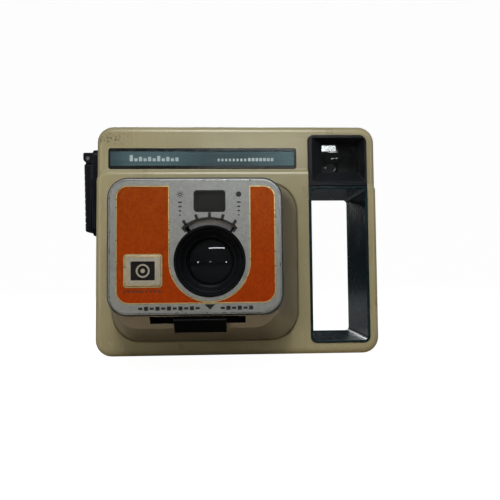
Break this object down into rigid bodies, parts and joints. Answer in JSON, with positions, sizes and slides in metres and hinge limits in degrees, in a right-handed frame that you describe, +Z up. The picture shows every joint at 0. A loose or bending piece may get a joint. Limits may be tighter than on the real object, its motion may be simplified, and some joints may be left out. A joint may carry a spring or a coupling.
{
  "type": "instant print camera",
  "caption": "Hand-held instant camera with a tapered lens housing, open grip window, side crank with folding grip, print rollers and hinged film door.",
  "frame": {"origin": "centre of the flat base that the camera stands on, in the middle of the body's width and depth", "axes": "+X to the right as the front is seen, +Y from the lens to the back, +Z up"},
  "size_m": [0.1928, 0.1226, 0.1475],
  "materials": {
    "tan_plastic": "satin moulded plastic with a metallic tan colour",
    "black_plastic": "fine moulded texture",
    "strip_black": "gloss",
    "label_print": "printed foil",
    "bright_plate": "fine brushed, clear lacquer",
    "orange_print": "gloss print",
    "gold_trim": "satin",
    "smoked_window": "smoked clear plastic",
    "optical_glass": "coated clear",
    "bright_sector": "bright",
    "ring_black": "matt",
    "pressed_steel": "plain",
    "turned_steel": "ground",
    "bronze": "plain",
    "gear_plastic": "natural",
    "counter_white": "matt",
    "copper_coil": "enamelled wire",
    "board_green": "lacquered",
    "battery_jacket": "printed jacket"
  },
  "bodies": {
    "housing": {"front_shell": "tan_plastic", "rear_shell": "black_plastic", "name_strip_frame": "strip_black", "name_strip_label": "label_print", "housing_screws": "turned_steel", "lens_housing": "tan_plastic", "plate_carrier": "black_plastic", "face_plate": "bright_plate", "orange_inlay": "orange_print", "badge_frame": "gold_trim", "meter_glass": "smoked_window", "lens_cup": "black_plastic", "lens_glass": "optical_glass", "shutter_plate": "pressed_steel", "shutter_magnet": "copper_coil", "circuit_board": "board_green", "light_baffle": "black_plastic", "battery": "battery_jacket", "battery_tray": "black_plastic", "film_chamber": "black_plastic", "roller_frame": "pressed_steel", "roller_bushes": "bronze", "pressure_spring": "pressed_steel", "idler_pin": "turned_steel", "gear_plate": "pressed_steel", "crank_bush": "black_plastic", "grip_liner": "black_plastic", "trigger_pin": "turned_steel", "release_switch": "bronze", "finder_bezel": "black_plastic", "finder_front_lens": "optical_glass", "finder_tube": "black_plastic", "eyepiece_frame": "black_plastic", "eyepiece_lens": "optical_glass", "flash_socket": "black_plastic", "door_hinge_pin": "turned_steel", "counter_window": "smoked_window"},
    "exposure_control": {"exposure_ring": "ring_black", "exposure_sector": "bright_sector"},
    "exposure_tab": {"exposure_slider": "black_plastic"},
    "left_blade": {"shutter_blade_left": "pressed_steel"},
    "right_blade": {"shutter_blade_right": "pressed_steel"},
    "battery_lid": {"battery_cover": "tan_plastic"},
    "print_pick": {"film_pick": "pressed_steel"},
    "crank": {"crank_shaft": "turned_steel", "crank_arm": "black_plastic", "grip_pin": "turned_steel", "crank_gear": "gear_plastic"},
    "grip": {"crank_grip": "black_plastic"},
    "idler": {"idler_gear": "gear_plastic"},
    "front_roller_set": {"front_roller": "turned_steel", "roller_pinion": "gear_plastic", "front_coupling_gear": "gear_plastic"},
    "rear_roller_set": {"rear_roller": "turned_steel", "rear_coupling_gear": "gear_plastic"},
    "trigger": {"shutter_trigger": "black_plastic"},
    "door": {"film_door": "black_plastic", "pack_springs": "pressed_steel"},
    "latch": {"door_latch": "black_plastic"},
    "counter": {"counter_wheel": "counter_white"}
  },
  "joints": [
    {"name": "crank_turn", "type": "hinge", "parent": "housing", "child": "crank", "pos_m": [-0.092, -0.0015, 0.084], "axis": [1, 0, 0], "continuous": true},
    {"name": "grip_fold", "type": "hinge", "parent": "crank", "child": "grip", "pos_m": [-0.0998, -0.0015, 0.1295], "axis": [0, 1, 0], "range_deg": [0, 90]},
    {"name": "idler_spin", "type": "hinge", "parent": "housing", "child": "idler", "pos_m": [-0.0815, -0.0042, 0.11187], "axis": [1, 0, 0], "continuous": true},
    {"name": "front_roller_spin", "type": "hinge", "parent": "housing", "child": "front_roller_set", "pos_m": [-0.0146, 0.0033, 0.126], "axis": [1, 0, 0], "continuous": true},
    {"name": "rear_roller_spin", "type": "hinge", "parent": "housing", "child": "rear_roller_set", "pos_m": [-0.0146, 0.0137, 0.126], "axis": [1, 0, 0], "continuous": true},
    {"name": "exposure_turn", "type": "hinge", "parent": "housing", "child": "exposure_control", "pos_m": [-0.0146, -0.0898, 0.058], "axis": [0, 1, 0], "range_deg": [-21.7, 27.8]},
    {"name": "exposure_slide", "type": "slide", "parent": "housing", "child": "exposure_tab", "axis": [1, 0, 0], "range_m": [-0.01155, 0.009]},
    {"name": "left_blade_swing", "type": "hinge", "parent": "housing", "child": "left_blade", "pos_m": [-0.0316, -0.084, 0.058], "axis": [0, 1, 0], "range_deg": [-40, 0], "stiffness_Nm_per_rad": 0.02, "springref_deg": 11.46},
    {"name": "right_blade_swing", "type": "hinge", "parent": "housing", "child": "right_blade", "pos_m": [0.0024, -0.084, 0.058], "axis": [0, 1, 0], "range_deg": [-40, 0], "stiffness_Nm_per_rad": 0.02, "springref_deg": 11.46},
    {"name": "battery_cover_hinge", "type": "hinge", "parent": "housing", "child": "battery_lid", "pos_m": [-0.0193, -0.0315, 0.01262], "axis": [1, 0, 0], "range_deg": [0, 75]},
    {"name": "print_pick_slide", "type": "slide", "parent": "housing", "child": "print_pick", "axis": [0, 0, 1], "range_m": [0, 0.018], "stiffness_N_per_m": 20, "springref_m": -0.004},
    {"name": "trigger_press", "type": "hinge", "parent": "housing", "child": "trigger", "pos_m": [0.0438, 0.0065, 0.071], "axis": [0, -1, 0], "range_deg": [0, 4], "stiffness_Nm_per_rad": 0.4, "springref_deg": -2.86},
    {"name": "film_door_hinge", "type": "hinge", "parent": "housing", "child": "door", "pos_m": [0.0437, 0.025, 0.063], "axis": [0, 0, -1], "range_deg": [0, 100]},
    {"name": "door_latch_slide", "type": "slide", "parent": "door", "child": "latch", "axis": [0, 0, 1], "range_m": [0, 0.003]},
    {"name": "counter_turn", "type": "hinge", "parent": "housing", "child": "counter", "pos_m": [-0.0794, 0.021, 0.03], "axis": [0, 1, 0], "continuous": true}
  ],
  "couplings": [
    {"joint": "idler_spin", "follows": "crank_turn", "ratio": -1.8},
    {"joint": "front_roller_spin", "follows": "crank_turn", "ratio": 3},
    {"joint": "rear_roller_spin", "follows": "crank_turn", "ratio": -3},
    {"joint": "exposure_slide", "follows": "exposure_turn", "m_per_rad": -0.023676},
    {"joint": "right_blade_swing", "follows": "left_blade_swing", "ratio": 1}
  ]
}
